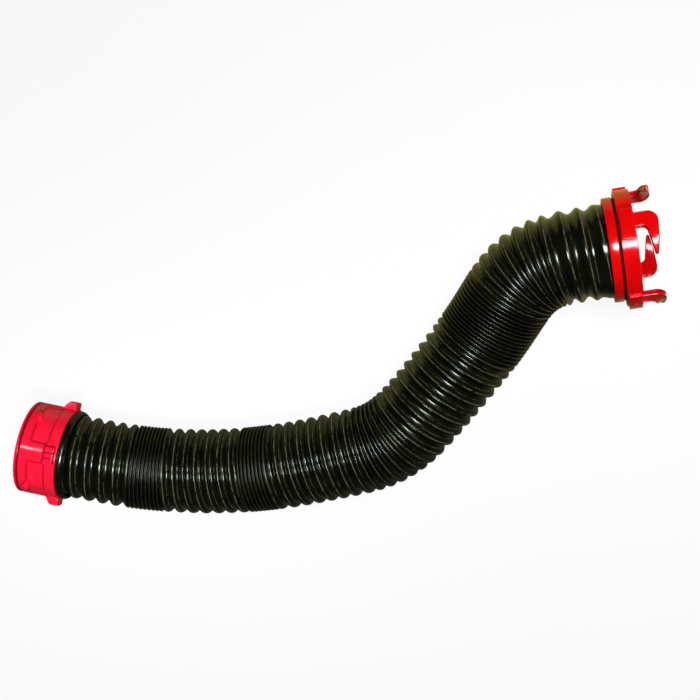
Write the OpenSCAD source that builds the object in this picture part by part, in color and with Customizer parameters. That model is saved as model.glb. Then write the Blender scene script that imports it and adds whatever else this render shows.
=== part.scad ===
// Sewer hose extension. A corrugated hose that can be pushed together carries a
// swivelling lug fitting on one end and a swivelling bayonet fitting on the
// other, and lies on a flat surface, z = 0, in the bend it was left in.
// Millimetres, +Z up, +X towards the bayonet end.

/* [Passage] */
// Diameter of the way through both adapters
passage_d = 70; // [64:0.5:76]

/* [Hose] */
// Height of the crests above the passage's wall at the lug end
crest_rise_lug_end = 6; // [5.4:0.1:7]
// Height of the crests above the passage's wall at the bayonet end
crest_rise_bayonet_end = 8; // [7:0.1:9]
// Height of a crest above its valley
corrugation_depth = 4.6; // [3:0.1:5]
// Height of a crest where the hose is bonded to an adapter
bonded_depth = 1; // [0.5:0.1:1.5]
// Thickness of the vinyl wall, measured towards the axis
hose_wall_t = 1; // [0.8:0.1:1.3]
// Diameter of the spring wire inside the crests
wire_d = 1.6; // [1:0.1:1.8]

/* [Lug fitting] */
// Length of the fitting from its mating face to its rear edge
lug_length = 41.5; // [40:0.5:50]
// Thickness of the adapter's front lip
lip_t = 3; // [2:0.1:4]
// Depth of the hose's seat behind the mating face
lug_seat_depth = 16; // [15.5:0.5:18]
// Length of the spigot inside the hose
lug_spigot_length = 20; // [14:0.5:24]
// Thickness of the barrel's wall behind its bearing
barrel_wall_t = 3; // [2.6:0.1:3.8]
// Depth of the shallow recesses in the barrel
recess_depth = 1.6; // [0.6:0.1:1.8]
// Distance from the mating face to the recesses
recess_front = 12.8; // [12:0.2:14]
// Length of the recesses along the barrel
recess_length = 18.5; // [15:0.5:19]
// Width of the bridge between two recesses
bridge_width = 18; // [14:0.5:24]
// Height of a grip tab above the barrel
tab_height = 7; // [4:0.5:8]
// Width of a grip tab
tab_width = 16.6; // [12:0.2:18]
// Length of a grip tab at its foot
tab_length = 13.5; // [10:0.5:15]
// Depth of the grooves between a grip tab's ribs
tab_groove_depth = 1; // [0.4:0.1:2]
// Diameter of a lug post
post_d = 6.8; // [6:0.1:8]
// Height of a lug post above the barrel
post_height = 6; // [5:0.25:6.5]
// Distance from the mating face to the lug posts
post_setback = 14.2; // [13:0.2:16]
// Turn of the grip tabs about the hose's axis, from straight up
lug_turn = 15; // [0:0.5:45]
// Height of the hose cuff's bulge above the hose, behind the barrel
cuff_height = 3.4; // [2:0.2:4]
// Length of the hose cuff
cuff_length = 6.5; // [5:0.5:10]

/* [Bayonet fitting] */
// Length of the collar that wraps the hose end
collar_length = 8.4; // [8:0.2:12]
// Thickness of the collar's wall
collar_wall_t = 3.9; // [3:0.1:5]
// Width of the groove between collar and ring
swivel_gap = 2; // [1.7:0.1:2.5]
// Length of the ring without its hooks
ring_length = 14; // [13.5:0.1:18]
// Thickness of the ring's wall around its socket
ring_wall_t = 6.3; // [6:0.1:8]
// Depth of the socket down to the adapter's face
socket_depth = 9; // [8:0.1:9.5]
// Height of a pad above the ring
pad_height = 3.1; // [2:0.2:5]
// Length of a pad along the ring
pad_length = 11.8; // [8:0.2:12]
// Angle that a pad spans
pad_angle = 31; // [24:1:40]
// Angle by which a pad leads its hook's middle
pad_lead = 1; // [0:0.5:5]
// Reach of a hook beyond the ring
hook_reach = 20; // [18:0.5:24]
// Thickness of a hook, measured outwards
hook_t = 5.6; // [4:0.1:6.4]
// Width of a hook's stem at its root
hook_width = 19; // [16:0.5:22]
// Distance from a hook's middle to the tip of its finger
finger_length = 27.5; // [24:0.5:30]
// Width of the slot behind a hook's finger
slot_width = 9.4; // [8.8:0.2:10.4]
// Turn of the hooks about the hose's axis, from straight up
hook_turn = 33; // [20:0.5:45]

/* [Fits] */
// Radial clearance of each swivel
running_gap = 0.08; // [0.03:0.01:0.1]
// Clearance along the axis beside a retaining ring
end_gap = 0.3; // [0.1:0.05:0.4]
// Width of the fine groove between lip and barrel
lip_gap = 0.8; // [0.4:0.1:1.2]
// Clearance between the hose and what holds it
hose_gap = 0.3; // [0.2:0.05:0.5]
// Clearance between a mating barrel and the socket
socket_gap = 0.7; // [0.4:0.1:1.2]
// Clearance between the fittings and the surface
floor_gap = 0.4; // [0.2:0.1:1]

/* [Seals and retaining rings] */
// Section diameter of the lug end's O-ring
lug_o_ring_d = 1.8; // [1.4:0.1:2.2]
// Section diameter of the bayonet end's O-ring
bayonet_o_ring_d = 1.6; // [1.2:0.1:1.6]
// Thickness of a retaining ring
retainer_t = 1.2; // [0.8:0.1:1.3]
// Depth of a retaining ring in its groove
retainer_seat = 1.2; // [0.8:0.1:1.5]
// Height of the step that a retaining ring catches
retainer_step = 0.92; // [0.8:0.02:1.2]
// Thickness of the face gasket
gasket_t = 2; // [1.5:0.1:3]
// Width of the face gasket
gasket_width = 5; // [4:0.1:6]

/* [Hidden] */
$fn = 96;

// Colours
vinyl_black = [0.06, 0.065, 0.05];
lug_red = [0.93, 0.05, 0.15];
bayonet_red = [0.88, 0.02, 0.04];
spring_steel = [0.6, 0.61, 0.63];
seal_black = [0.03, 0.03, 0.03];

// Shared fine sizes
groove_side_gap = 0.05;
edge_cut = 0.5;
overlap = 1;
quarter_turns = [0, 90, 180, 270];

// Radii and depths at the lug end, each from its neighbour and a clearance
passage_r = passage_d / 2;
hose_r_lug = passage_r + crest_rise_lug_end;
journal_r = hose_r_lug + hose_gap;
barrel_bore_r = journal_r + running_gap;
skirt_bore_r = barrel_bore_r + retainer_step;
barrel_r = skirt_bore_r + barrel_wall_t;
tab_tip_r = barrel_r + tab_height;
post_tip_r = barrel_r + post_height;
barrel_front = lip_t + lip_gap;
bearing_end = lug_seat_depth - 3.6;
lug_o_ring_depth = barrel_front + 3.5;
lug_retainer_depth = bearing_end + end_gap;
tab_rear = lug_length - 2 * edge_cut;
bridge_half_angle = asin(bridge_width / 2 / barrel_r);
recess_half_width = barrel_r * sin(45 - bridge_half_angle);

cuff_bore_r = journal_r + hose_gap;
cuff_front = lug_length + edge_cut;

// Radii and depths at the bayonet end, behind the ring's front face
hose_r_bayonet = passage_r + crest_rise_bayonet_end;
collar_bore_r = hose_r_bayonet + hose_gap;
collar_r = collar_bore_r + collar_wall_t;
socket_r = barrel_r + socket_gap;
web_bore_r = socket_r - retainer_step - edge_cut;
neck_r = web_bore_r - running_gap;
ring_r = socket_r + ring_wall_t;
pad_r = ring_r + pad_height;
hook_outer_r = ring_r + 2 * edge_cut;
hook_inner_r = hook_outer_r - hook_t;
bayonet_retainer_depth = socket_depth + edge_cut;
web_front = bayonet_retainer_depth + retainer_t + end_gap;
gasket_front = socket_depth - gasket_t;
socket_relief = 1;
collar_front = ring_length + swivel_gap;
collar_rear = collar_front + collar_length;
bayonet_seat_depth = collar_front + 2;
bayonet_spigot_length = 10;

// Places of the fittings seen from above, and the lines of their axes
lug_face = [-306, -90.6];
lug_heading = atan2(-1, 5);
bayonet_face = [285, 103.6];
bayonet_heading = atan2(2, 15);
bayonet_dip = 3;

// The hose lies on the surface and the fittings just clear it
tab_half_angle = asin(tab_width / 2 / tab_tip_r);
lug_axis_z = tab_tip_r * cos(lug_turn - tab_half_angle) + floor_gap;
finger_reach = hook_reach - 5;
bayonet_axis_z = max(pad_r * cos(hook_turn - pad_lead - pad_angle / 2),
                     hook_outer_r + finger_reach * sin(bayonet_dip)) + floor_gap;

// The hose runs straight out of each fitting: points at even steps along x
lug_step = 17;
bayonet_step = -18;
function straight_out(face, heading, k) =
    [face[0] + k, face[1] + k * tan(heading), 1];

// The hose's route between the two fittings: x, y, and how far it has come
// from lying on the surface, 0, to the height of the fitting, 1.
route = [
    for (k = [0 : 3]) straight_out(lug_face, lug_heading, k * lug_step),
    [-236, -104.8, 0.92], [-217, -108.8, 0.72], [-198, -112.4, 0.5],
    [-180, -115, 0.28], [-162, -116.6, 0.09], [-144, -117.5, 0],
    [-124, -117.5, 0], [-104, -116.5, 0], [-84, -115, 0], [-64, -112.5, 0],
    [-44, -109.5, 0], [-24, -105.5, 0], [-4, -101, 0], [16, -96.5, 0],
    [34, -92, 0], [50, -85.5, 0], [65, -75.5, 0], [78.5, -62.5, 0],
    [91, -48.5, 0], [103.5, -33.5, 0], [116, -18.5, 0], [128.5, -3, 0],
    [140.5, 12.5, 0.02], [152, 28.5, 0.06], [162.5, 45, 0.18], [173, 62, 0.36],
    [184, 76, 0.54], [198, 86.5, 0.72], [214, 92.8, 0.88],
    [231, 96.2, 0.97],
    for (k = [2 : -1 : 0]) straight_out(bayonet_face, bayonet_heading, k * bayonet_step)];

// How the hose is drawn out and pushed together: each stretch ends at a
// distance along the route and has its own pitch from crest to crest.
stretches = [
    [106.6, 12.9], [140.1, 3.81], [222, 12.1], [250, 3.8], [339.6, 12.1],
    [393.6, 8.22], [484.6, 11.8], [500.6, 8.6], [552.6, 4.1], [611.6, 8.5], [720, 14.5]];

// The route's line is a cubic B-spline, sampled at a few steps a span
span_steps = 6;

function route_z(i) =
    let (rest = hose_r_lug + (hose_r_bayonet - hose_r_lug) * i / (len(route) - 1),
         back = norm([route[i][0], route[i][1]] - bayonet_face),
         held = i < len(route) / 2 ? lug_axis_z : bayonet_axis_z + back * tan(bayonet_dip))
    rest + route[i][2] * (held - rest);

control = [for (i = [0 : len(route) - 1]) [route[i][0], route[i][1], route_z(i)]];
last = len(control) - 1;
guides = concat([2 * control[0] - control[1]], control,
                [2 * control[last] - control[last - 1]]);

function spline(p, i, t) =
    (pow(1 - t, 3) * p[i] + (3 * pow(t, 3) - 6 * t * t + 4) * p[i + 1]
     + (-3 * pow(t, 3) + 3 * t * t + 3 * t + 1) * p[i + 2] + pow(t, 3) * p[i + 3]) / 6;

line = [for (i = [0 : last]) for (k = [0 : i == last ? 0 : span_steps - 1])
            i == last ? control[last] : spline(guides, i, k / span_steps)];
distances = [for (i = 0, d = 0; i < len(line);
                  i = i + 1, d = i < len(line) ? d + norm(line[i] - line[i - 1]) : d) d];
line_x = [for (i = [0 : len(line) - 1]) [distances[i], line[i][0]]];
line_y = [for (i = [0 : len(line) - 1]) [distances[i], line[i][1]]];
line_z = [for (i = [0 : len(line) - 1]) [distances[i], line[i][2]]];
route_length = distances[len(line) - 1];
hose_start = lug_seat_depth + hose_gap;
hose_end = route_length - bayonet_seat_depth - hose_gap;

function centre(s) = [lookup(s, line_x), lookup(s, line_y), lookup(s, line_z)];
function unit(v) = v / norm(v);
function heading(s) = unit(centre(s + 2) - centre(s - 2));

// A point of the hose: distance along it, radius, and angle from its left side
// over the top
function on_hose(s, r, a) =
    let (t = heading(s), left = unit(cross([0, 0, 1], t)), top = cross(t, left))
    centre(s) + r * (cos(a) * left + sin(a) * top);

// Turns of the corrugation against distance, and back
start_turn = 0.08;
turn_table = [for (i = 0, n = start_turn, s = 0; i <= len(stretches);
                   n = i < len(stretches) ? n + (stretches[i][0] - s) / stretches[i][1] : n,
                   s = i < len(stretches) ? stretches[i][0] : s, i = i + 1) [n, s]];
distance_table = [for (p = turn_table) [p[1], p[0]]];
function at_turn(n) = lookup(n, turn_table);
function turns_at(s) = lookup(s, distance_table);

// The wall is sampled at this many angles a turn
sides = 16;
first = ceil((turns_at(hose_start) + 0.25) * sides);
rows = floor((turns_at(hose_end) - 0.25) * sides) - first;

// Beyond the spigots the folds grow to their full depth
fade = 14;
fade_start = hose_start + lug_spigot_length;
fade_end = hose_end - bayonet_spigot_length;

function ease(t) = let (u = max(0, min(1, t))) u * u * (3 - 2 * u);
function crest_r(s) = hose_r_lug + (hose_r_bayonet - hose_r_lug) * s / route_length;
function fold_depth(s) =
    bonded_depth + (corrugation_depth - bonded_depth)
    * min(ease((s - fade_start) / fade), ease((fade_end - s) / fade));

// Bore of the faceted wall where it is bonded, and the spigots that fit it
function bonded_bore_r(r) = (r - bonded_depth - hose_wall_t) * cos(180 / sides);
lug_spigot_r = bonded_bore_r(hose_r_lug) - hose_gap;
bayonet_spigot_r = bonded_bore_r(hose_r_bayonet) - hose_gap;

// Points of one skin of the wall, drop inside the outer skin: a ring at the
// lug end, the crests, the valleys half a turn on, and a ring at the far end.
// The first and the last crest rise out of the end rings over one turn.
function angle_of(m) = 360 * (first + m) / sides;
function skin_points(drop) = concat(
    [for (j = [0 : sides - 1])
        on_hose(hose_start, crest_r(hose_start) - bonded_depth - drop, angle_of(j))],
    [for (m = [0 : rows])
        let (s = at_turn((first + m) / sides), rise = min(1, m / sides, (rows - m) / sides))
        on_hose(s, crest_r(s) - fold_depth(s) * (1 - rise) - drop, angle_of(m))],
    [for (m = [0 : rows - sides])
        let (s = at_turn((first + m) / sides + 0.5))
        on_hose(s, crest_r(s) - fold_depth(s) - drop, angle_of(m))],
    [for (j = [0 : sides - 1])
        on_hose(hose_end, crest_r(hose_end) - bonded_depth - drop, angle_of(rows + j))]);

crest_at = sides;
valley_at = crest_at + rows + 1;
far_at = valley_at + rows - sides + 1;
skin_size = far_at + sides;

function quad(a, b, c, d) = [[a, b, c], [a, c, d]];
function turned(faces) = [for (f = faces) [f[2], f[1], f[0]]];
function moved(faces, by) = [for (f = faces) [f[0] + by, f[1] + by, f[2] + by]];

// Faces of one skin, seen from outside
skin_faces = concat(
    [for (j = [0 : sides - 1])
        each quad(j, (j + 1) % sides, crest_at + j + 1, crest_at + j)],
    [for (m = [0 : rows - sides - 1])
        each quad(crest_at + m, crest_at + m + 1, valley_at + m + 1, valley_at + m)],
    [for (m = [0 : rows - sides - 1])
        each quad(valley_at + m, valley_at + m + 1,
                  crest_at + sides + m + 1, crest_at + sides + m)],
    [for (j = [0 : sides - 1])
        each quad(crest_at + rows - sides + j, crest_at + rows - sides + j + 1,
                  far_at + (j + 1) % sides, far_at + j)],
    [[crest_at + sides, 0, crest_at], [crest_at + sides, crest_at, valley_at]],
    [[crest_at + rows - sides, far_at, crest_at + rows],
     [crest_at + rows - sides, crest_at + rows, valley_at + rows - sides]]);

// Flat rings that close the wall at its two ends
end_faces = [for (j = [0 : sides - 1]) let (k = (j + 1) % sides) each concat(
    quad(k, j, skin_size + j, skin_size + k),
    quad(far_at + j, far_at + k, skin_size + far_at + k, skin_size + far_at + j))];

module hose_wall() {
    color(vinyl_black)
        polyhedron(points = concat(skin_points(0), skin_points(hose_wall_t)),
                   faces = turned(concat(skin_faces, turned(moved(skin_faces, skin_size)),
                                         end_faces)));
}

// The wire lies under the crests, as far out as each fold is wide enough for it
wire_sides = 3;
wire_gap = 0.15;
wire_first = ceil(turns_at(fade_start + fade) * sides);
wire_rings = floor(turns_at(fade_end - fade) * sides) - wire_first;

function fold_half_width(n, a) =
    let (s = at_turn(n), here = on_hose(s, crest_r(s), a),
         before = at_turn(n - 0.5), after = at_turn(n + 0.5))
    min(norm(on_hose(before, crest_r(before), a) - here),
        norm(on_hose(after, crest_r(after), a) - here));
function wire_depth(n, a) =
    let (slope = corrugation_depth / fold_half_width(n, a))
    hose_wall_t + wire_d / 2 * sqrt(1 + slope * slope) + wire_gap;

wire_points = [for (m = [0 : wire_rings])
    let (n = (wire_first + m) / sides, a = 360 * n, s = at_turn(n),
         r = crest_r(s) - wire_depth(n, a), t = heading(s),
         out = unit(on_hose(s, r, a) - centre(s)))
    for (k = [0 : wire_sides - 1])
        let (b = 90 + 360 * k / wire_sides)
        on_hose(s, r, a) + wire_d / 2 * (cos(b) * t + sin(b) * out)];
wire_faces = concat(
    [for (m = [0 : wire_rings - 1]) for (k = [0 : wire_sides - 1])
        let (i = m * wire_sides, j = (k + 1) % wire_sides)
        each quad(i + k, i + j, i + wire_sides + j, i + wire_sides + k)],
    [[2, 1, 0]], moved([[0, 1, 2]], wire_rings * wire_sides));

module wire_helix() {
    color(spring_steel) polyhedron(points = wire_points, faces = turned(wire_faces));
}

// Frames of the two fittings: +Z out of the mating face, +X straight up, so
// that a depth behind the face is -z.
module at_lug_end() {
    translate([lug_face[0], lug_face[1], lug_axis_z])
        rotate([0, -90, lug_heading]) children();
}

module at_bayonet_end() {
    translate([bayonet_face[0], bayonet_face[1], bayonet_axis_z])
        rotate([0, -90 - bayonet_dip, bayonet_heading + 180]) children();
}

// A ring from radius r1 to r2 and from depth d1 to d2
module band(r1, r2, d1, d2) {
    rotate_extrude() translate([r1, -d2]) square([r2 - r1, d2 - d1]);
}

// The same with its outer edges cut back
module cut_band(r1, r2, d1, d2, cut) {
    rotate_extrude()
        polygon([[r1, -d1], [r2 - cut, -d1], [r2, -d1 - cut], [r2, -d2 + cut],
                 [r2 - cut, -d2], [r1, -d2]]);
}

// An open retaining ring whose front lies at a depth
module snap_ring(r1, r2, depth) {
    translate([0, 0, -depth - retainer_t])
        rotate_extrude(angle = 350) translate([r1, 0]) square([r2 - r1, retainer_t]);
}

module o_ring(r, d, depth) {
    translate([0, 0, -depth]) rotate_extrude() translate([r, 0]) circle(d = d, $fn = 48);
}

// A flat shape, drawn across and along the axis, cut outwards through a wall
module pushed_out(r1, r2) {
    rotate([90, 0, 90]) translate([0, 0, r1]) linear_extrude(r2 - r1) children();
}

// A rectangle whose corners are rounded in short straight steps
module round_cornered(w, h, r) {
    steps = 6;
    polygon([for (corner = [0:3], step = [0:steps])
        let (turn = 90 * (corner + step / steps), middle = 90 * corner + 45)
        [sign(cos(middle)) * (w / 2 - r) + r * cos(turn),
         sign(sin(middle)) * (h / 2 - r) + r * sin(turn)]]);
}

// Lug end
lug_o_ring_r = barrel_bore_r - running_gap / 2 - lug_o_ring_d / 2;

module lug_end_adapter() {
    color(lug_red) at_lug_end() difference() {
        union() {
            cut_band(passage_r, barrel_r, 0, lip_t, edge_cut);
            band(passage_r, journal_r, lip_t / 2, lug_seat_depth);
            band(passage_r, lug_spigot_r, lug_seat_depth / 2,
                 lug_seat_depth + lug_spigot_length);
        }
        band(lug_o_ring_r - lug_o_ring_d / 2 - groove_side_gap, journal_r + overlap,
             lug_o_ring_depth - lug_o_ring_d / 2 - groove_side_gap,
             lug_o_ring_depth + lug_o_ring_d / 2 + groove_side_gap);
        band(journal_r - retainer_seat - groove_side_gap, journal_r + overlap,
             lug_retainer_depth - groove_side_gap,
             lug_retainer_depth + retainer_t + groove_side_gap);
    }
}

module lug_o_ring() {
    color(seal_black) at_lug_end() o_ring(lug_o_ring_r, lug_o_ring_d, lug_o_ring_depth);
}

module lug_retaining_ring() {
    color(spring_steel) at_lug_end()
        snap_ring(journal_r - retainer_seat, skirt_bore_r - end_gap, lug_retainer_depth);
}

// A smooth vinyl bulge on the hose, close behind the barrel
module lug_hose_cuff() {
    cuff_r = hose_r_lug + cuff_height;
    cuff_rear = cuff_front + cuff_length;
    color(vinyl_black) at_lug_end() rotate_extrude()
        polygon([[cuff_bore_r, -cuff_front], [cuff_r - edge_cut, -cuff_front],
                 [cuff_r, -cuff_front - edge_cut], [cuff_r, -cuff_front - cuff_length / 2],
                 [(cuff_r + cuff_bore_r) / 2 + edge_cut, -cuff_rear + cuff_length / 6],
                 [cuff_bore_r + edge_cut, -cuff_rear], [cuff_bore_r, -cuff_rear]]);
}

module recess() {
    intersection() {
        band(barrel_r - recess_depth, barrel_r + overlap, recess_front - overlap,
             recess_front + recess_length + overlap);
        pushed_out(0, barrel_r + overlap)
            translate([0, -recess_front - recess_length / 2])
                round_cornered(2 * recess_half_width, recess_length, 3);
    }
}

module lug_post() {
    translate([barrel_r - recess_depth - edge_cut, 0, -post_setback]) rotate([0, 90, 0])
        cylinder(d = post_d, h = post_height + recess_depth + edge_cut, $fn = 48);
}

// A block with a sloped front and two grooves between its three ribs
module grip_tab() {
    foot_r = barrel_r - edge_cut;
    intersection() {
        difference() {
            rotate([90, 0, 0]) linear_extrude(tab_width, center = true)
                polygon([[foot_r, -tab_rear + tab_length], [tab_tip_r, -tab_rear + tab_length - 5],
                         [tab_tip_r, -tab_rear + edge_cut], [foot_r, -tab_rear]]);
            for (side = [-1, 1])
                translate([tab_tip_r - tab_groove_depth, side * tab_width / 6 - edge_cut,
                           -lug_length])
                    cube([2 * tab_groove_depth, 2 * edge_cut, lug_length]);
        }
        cylinder(r = tab_tip_r, h = 2 * lug_length, center = true);
    }
}

module lug_barrel() {
    color(lug_red) at_lug_end() rotate([0, 0, lug_turn]) {
        difference() {
            cut_band(barrel_bore_r, barrel_r, barrel_front, lug_length, edge_cut);
            band(barrel_bore_r - overlap, skirt_bore_r, bearing_end, lug_length + overlap);
            for (turn = quarter_turns)
                rotate([0, 0, turn + 45]) recess();
        }
        for (turn = quarter_turns) {
            rotate([0, 0, turn + 45]) lug_post();
            rotate([0, 0, turn]) grip_tab();
        }
    }
}

// Bayonet end
bayonet_o_ring_r = neck_r + groove_side_gap + bayonet_o_ring_d / 2;

module bayonet_end_adapter() {
    color(bayonet_red) at_bayonet_end() difference() {
        union() {
            band(passage_r, neck_r, socket_depth, bayonet_seat_depth);
            cut_band(passage_r, collar_r, collar_front, collar_rear, edge_cut);
            band(passage_r, bayonet_spigot_r, collar_front,
                 bayonet_seat_depth + bayonet_spigot_length);
        }
        band(bayonet_spigot_r, collar_bore_r, bayonet_seat_depth, collar_rear + overlap);
        band(neck_r - retainer_seat - groove_side_gap, neck_r + overlap,
             bayonet_retainer_depth - groove_side_gap,
             bayonet_retainer_depth + retainer_t + groove_side_gap);
    }
}

module bayonet_o_ring() {
    color(seal_black) at_bayonet_end()
        o_ring(bayonet_o_ring_r, bayonet_o_ring_d, ring_length + swivel_gap / 2);
}

module bayonet_retaining_ring() {
    color(spring_steel) at_bayonet_end()
        snap_ring(neck_r - retainer_seat, socket_r - end_gap, bayonet_retainer_depth);
}

module bayonet_gasket() {
    color(seal_black) at_bayonet_end()
        band(neck_r - gasket_width, neck_r, gasket_front, socket_depth);
}

// A raised pad that spans an angle about the ring
module pad() {
    margin = (ring_length - pad_length) / 2;
    rotate([0, 0, -pad_angle / 2]) rotate_extrude(angle = pad_angle)
        polygon([[ring_r - edge_cut, -margin], [pad_r - edge_cut, -margin],
                 [pad_r, -margin - edge_cut], [pad_r, -margin - pad_length + edge_cut],
                 [pad_r - edge_cut, -margin - pad_length],
                 [ring_r - edge_cut, -margin - pad_length]]);
}

// Outline of a hook, seen from outside: a stem with a round shoulder, and a
// finger that runs round from it and tapers to its tip
shoulder_r = 10;
tip_r = 1.7;
slot_end_x = 9.5;
brow_x = 15;
slot_y = slot_width / 2 + edge_cut;

module hook_outline() {
    stem_x = -hook_width / 2;
    tip = [finger_length - tip_r, finger_reach];
    difference() {
        union() {
            polygon([[stem_x, -overlap], [stem_x, hook_reach - shoulder_r],
                     [stem_x + shoulder_r, hook_reach], [brow_x, hook_reach - 1],
                     tip + [tip_r / 2, tip_r], tip + [0, -tip_r],
                     [slot_end_x, slot_y + slot_width / 2], [slot_end_x, -overlap]]);
            translate([stem_x + shoulder_r, hook_reach - shoulder_r]) circle(r = shoulder_r);
            translate(tip) circle(r = tip_r, $fn = 32);
        }
        translate([slot_end_x, slot_y]) circle(d = slot_width, $fn = 64);
        translate([slot_end_x, -2 * overlap]) square([finger_length, slot_y + 2 * overlap]);
    }
}

module hook() {
    intersection() {
        band(hook_inner_r, hook_outer_r, -hook_reach - overlap, overlap);
        pushed_out(0, hook_outer_r + overlap) hook_outline();
    }
}

module bayonet_ring() {
    color(bayonet_red) at_bayonet_end() rotate([0, 0, -hook_turn]) {
        difference() {
            cut_band(web_bore_r, ring_r, 0, ring_length, edge_cut);
            band(web_bore_r - overlap, socket_r, -overlap, web_front);
            band(socket_r - overlap, socket_r + socket_relief, gasket_front, web_front);
        }
        for (turn = quarter_turns)
            rotate([0, 0, turn]) {
                rotate([0, 0, pad_lead]) pad();
                hook();
            }
    }
}

hose_wall();
wire_helix();
lug_hose_cuff();
lug_end_adapter();
lug_barrel();
lug_o_ring();
lug_retaining_ring();
bayonet_end_adapter();
bayonet_ring();
bayonet_o_ring();
bayonet_retaining_ring();
bayonet_gasket();
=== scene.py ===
"""Looks of a sewer hose extension: a corrugated vinyl hose with two red fittings.

The hose, its cuff and the fittings are surfaces worked out with numpy. Every
piece stands on the measured frame that is loaded first.
"""

import logging
from dataclasses import dataclass, field
from enum import Enum
from typing import Any, Sequence

import bpy
import numpy as np
from mathutils import Matrix, Vector


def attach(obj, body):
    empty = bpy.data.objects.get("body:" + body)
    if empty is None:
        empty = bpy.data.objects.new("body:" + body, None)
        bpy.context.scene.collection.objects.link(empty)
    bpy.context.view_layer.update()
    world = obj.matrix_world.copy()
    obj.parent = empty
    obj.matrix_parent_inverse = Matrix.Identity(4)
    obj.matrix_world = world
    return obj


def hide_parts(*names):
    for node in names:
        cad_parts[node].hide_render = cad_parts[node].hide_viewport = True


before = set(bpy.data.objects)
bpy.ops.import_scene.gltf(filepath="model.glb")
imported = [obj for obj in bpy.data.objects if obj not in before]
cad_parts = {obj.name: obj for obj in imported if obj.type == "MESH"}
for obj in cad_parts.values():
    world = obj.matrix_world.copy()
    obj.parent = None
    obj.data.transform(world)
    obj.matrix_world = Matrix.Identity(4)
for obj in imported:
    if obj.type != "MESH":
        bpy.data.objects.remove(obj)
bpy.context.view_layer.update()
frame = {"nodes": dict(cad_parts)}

log = logging.getLogger("sewer_hose")

Array = np.ndarray
Rows = Sequence[Sequence[float]] | Array
Triple = tuple[float, float, float]
Pair = tuple[float, float]
Piece = bpy.types.Object
Finish = bpy.types.Material
MM = 0.001
PAINTED_SHADE = 0.8  # painted shade in corners and grooves and on the hooks' inner sides, out of 1


class Body(Enum):
    """The bodies that pieces ride on."""

    HOSE = "hose"
    LUG_SWIVEL = "lug_swivel"
    BAYONET_SWIVEL = "bayonet_swivel"


class Slot(Enum):
    """The record's material slots."""

    VINYL = "vinyl"
    LUG_PLASTIC = "lug_plastic"
    BAYONET_PLASTIC = "bayonet_plastic"
    STEEL = "steel"
    SEAL = "seal"


# ---------------------------------------------------------------- camera


def hang(name: str, data: bpy.types.ID, place: Triple, axes: Sequence[Vector]) -> Piece:
    """Adds a camera or a lamp to the scene.

    Args:
        name: The object's name.
        data: The camera or lamp.
        place: Where it is, in metres.
        axes: Its rightward, upward and backward directions.

    Returns:
        The object.
    """
    made = bpy.data.objects.new(name, data)
    bpy.context.scene.collection.objects.link(made)
    made.matrix_world = Matrix.Translation(Vector(place)) @ Matrix(axes).transposed().to_4x4()
    return made


@dataclass(frozen=True)
class StudioCamera:
    """The camera that looks down on the lying hose.

    Attributes:
        place: Where the lens is, in metres.
        back: Direction from the aim towards the lens.
        right: Direction that is to the right in the picture.
        focal: Focal length for a 36 mm wide sensor, in millimetres.
    """

    place: Triple = (0.25376, 0.30620, 1.34363)
    back: Triple = (0.17268, 0.22157, 0.95973)
    right: Triple = (0.98498, -0.03885, -0.16826)
    focal: float = 73.29

    def build(self) -> None:
        """Makes the camera and sets it as the scene's own."""
        data = bpy.data.cameras.new("studio_camera")
        data.lens = self.focal
        data.sensor_width = 36.0
        data.clip_start, data.clip_end = 0.05, 20.0
        back = Vector(self.back).normalized()
        up = back.cross(Vector(self.right)).normalized()
        axes = (up.cross(back), up, back)
        bpy.context.scene.camera = hang("studio_camera", data, self.place, axes)


# ---------------------------------------------------------------- surfaces


def smooth(t: Array) -> Array:
    """Eases from 0 to 1: three times the square less twice the cube of t.

    Args:
        t: Values, which are held between 0 and 1 first.

    Returns:
        The eased values.
    """
    u = np.clip(t, 0.0, 1.0)
    return u * u * (3.0 - 2.0 * u)


def unit(vectors: Array) -> Array:
    """Scales each vector, along the last axis, to length one."""
    return vectors / np.linalg.norm(vectors, axis=-1, keepdims=True)


def both_sides(half: Array, sign: float = 1.0) -> Array:
    """Goes on from a half's last value back to its first, times a sign."""
    return np.concatenate([half, sign * half[-2::-1]])


def drawn_in(view: Array, inset: Array) -> Array:
    """Copies of an outline, drawn in from its four sides by each inset."""
    middle = view.mean(axis=0)
    away = view - middle
    return middle + away * (1 - inset[:, None, None] / np.abs(away).max(axis=0))


def rounded(corners: Rows, radii: Sequence[float] | Array, steps: int = 4) -> Array:
    """Rounds the corners of a closed outline.

    Each corner gives way to a parabola that leaves one side at the given
    distance before the corner and meets the next side as far beyond it.

    Args:
        corners: The outline's corners in order.
        radii: The distance that is cut at each corner; 0 keeps it sharp.
        steps: Number of points that each corner becomes.

    Returns:
        An array of points, steps for each corner.
    """
    here = np.asarray(corners, float)
    before = unit(np.roll(here, 1, axis=0) - here)
    after = unit(np.roll(here, -1, axis=0) - here)
    cut = np.asarray(radii, float)[:, None, None]
    t = np.linspace(0.0, 1.0, steps)[None, :, None]
    start = here[:, None] + cut * before[:, None]
    end = here[:, None] + cut * after[:, None]
    return ((1 - t) ** 2 * start + 2 * t * (1 - t) * here[:, None] + t**2 * end).reshape(-1, 2)


def spread_profile(corners: Rows, steps: int = 4) -> Array:
    """A closed profile from corners of radius, depth and rounding."""
    table = np.asarray(corners, float)
    return rounded(table[:, :2], table[:, 2], steps)


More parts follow.
